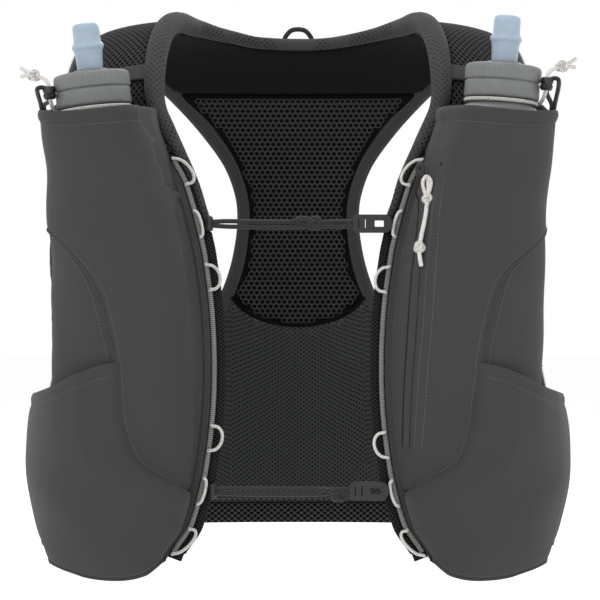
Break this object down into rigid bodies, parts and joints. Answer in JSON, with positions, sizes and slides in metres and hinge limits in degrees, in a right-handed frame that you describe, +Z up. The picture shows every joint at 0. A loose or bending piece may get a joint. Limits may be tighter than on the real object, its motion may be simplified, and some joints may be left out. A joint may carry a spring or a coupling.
{
  "type": "running hydration vest with two soft flasks",
  "caption": "Running hydration vest with padded mesh back, front flask sleeves, stretch pockets, sternum cords and screw-cap soft flasks, in the form of a worn vest.",
  "frame": {"origin": "midway between the shoulders at the height where the shoulder straps sit", "axes": "+X to the wearer's left, +Y to the back, +Z up"},
  "size_m": [0.3724, 0.2929, 0.3832],
  "materials": {
    "pad_mesh": "black spacer mesh over foam",
    "stretch_cloth": "matte dark grey woven stretch cloth",
    "roll_cloth": "perforated soft knit",
    "binding": "smooth stretch binding",
    "cap": "grey moulded screw cap",
    "flask": "soft grey film",
    "silicone": "pale blue translucent silicone",
    "lace": "white braided cord with dark flecks",
    "dark_cord": "black braided elastic cord",
    "hardware": "black moulded plastic",
    "coil": "grey ribbed cording"
  },
  "bodies": {
    "root": {"front_panel_right": "pad_mesh", "shoulder_panel_right": "pad_mesh", "side_wing_right": "stretch_cloth", "flask_pocket_right": "stretch_cloth", "side_panel_right": "stretch_cloth", "lower_pocket_right": "stretch_cloth", "armhole_binding_right": "binding", "edge_trim_right": "binding", "edge_cording_right": "coil", "flask_body_right": "flask", "flask_neck_cord_right": "lace", "cord_lock_right": "hardware", "cord_lock_tether_right": "dark_cord", "lash_loop_right_1": "lace", "lash_loop_right_2": "lace", "lash_loop_right_3": "lace", "lash_loop_right_4": "lace", "lash_loop_right_5": "lace", "lash_loop_right_6": "lace", "front_panel_left": "pad_mesh", "shoulder_panel_left": "pad_mesh", "side_wing_left": "stretch_cloth", "flask_pocket_left": "stretch_cloth", "side_panel_left": "stretch_cloth", "lower_pocket_left": "stretch_cloth", "armhole_binding_left": "binding", "edge_trim_left": "binding", "edge_cording_left": "coil", "flask_body_left": "flask", "flask_neck_cord_left": "lace", "cord_lock_left": "hardware", "cord_lock_tether_left": "dark_cord", "lash_loop_left_1": "lace", "lash_loop_left_2": "lace", "lash_loop_left_3": "lace", "lash_loop_left_4": "lace", "lash_loop_left_5": "lace", "lash_loop_left_6": "lace", "yoke_pad": "pad_mesh", "back_mesh": "pad_mesh", "lumbar_panel": "pad_mesh", "hem_band": "pad_mesh", "back_pocket": "stretch_cloth", "neck_roll": "roll_cloth", "sternum_cord_upper": "dark_cord", "sternum_toggle_upper": "hardware", "sternum_clip_upper": "hardware", "sternum_cord_lower": "dark_cord", "sternum_toggle_lower": "hardware", "sternum_clip_lower": "hardware", "chest_zip": "coil", "zip_slider": "hardware", "zip_pull_cord": "lace", "hang_loop": "dark_cord"},
    "cap_right": {"flask_cap_right": "cap", "bite_valve_right": "silicone"},
    "cap_left": {"flask_cap_left": "cap", "bite_valve_left": "silicone"}
  },
  "joints": [
    {"name": "cap_right_turn", "type": "hinge", "parent": "root", "child": "cap_right", "pos_m": [-0.133, -0.11131, -0.0576], "axis": [-0.1115, 0, 0.9938], "range_deg": [0, 300]},
    {"name": "cap_left_turn", "type": "hinge", "parent": "root", "child": "cap_left", "pos_m": [0.133, -0.11231, -0.0526], "axis": [0.0785, 0, 0.9969], "range_deg": [0, 300]}
  ]
}
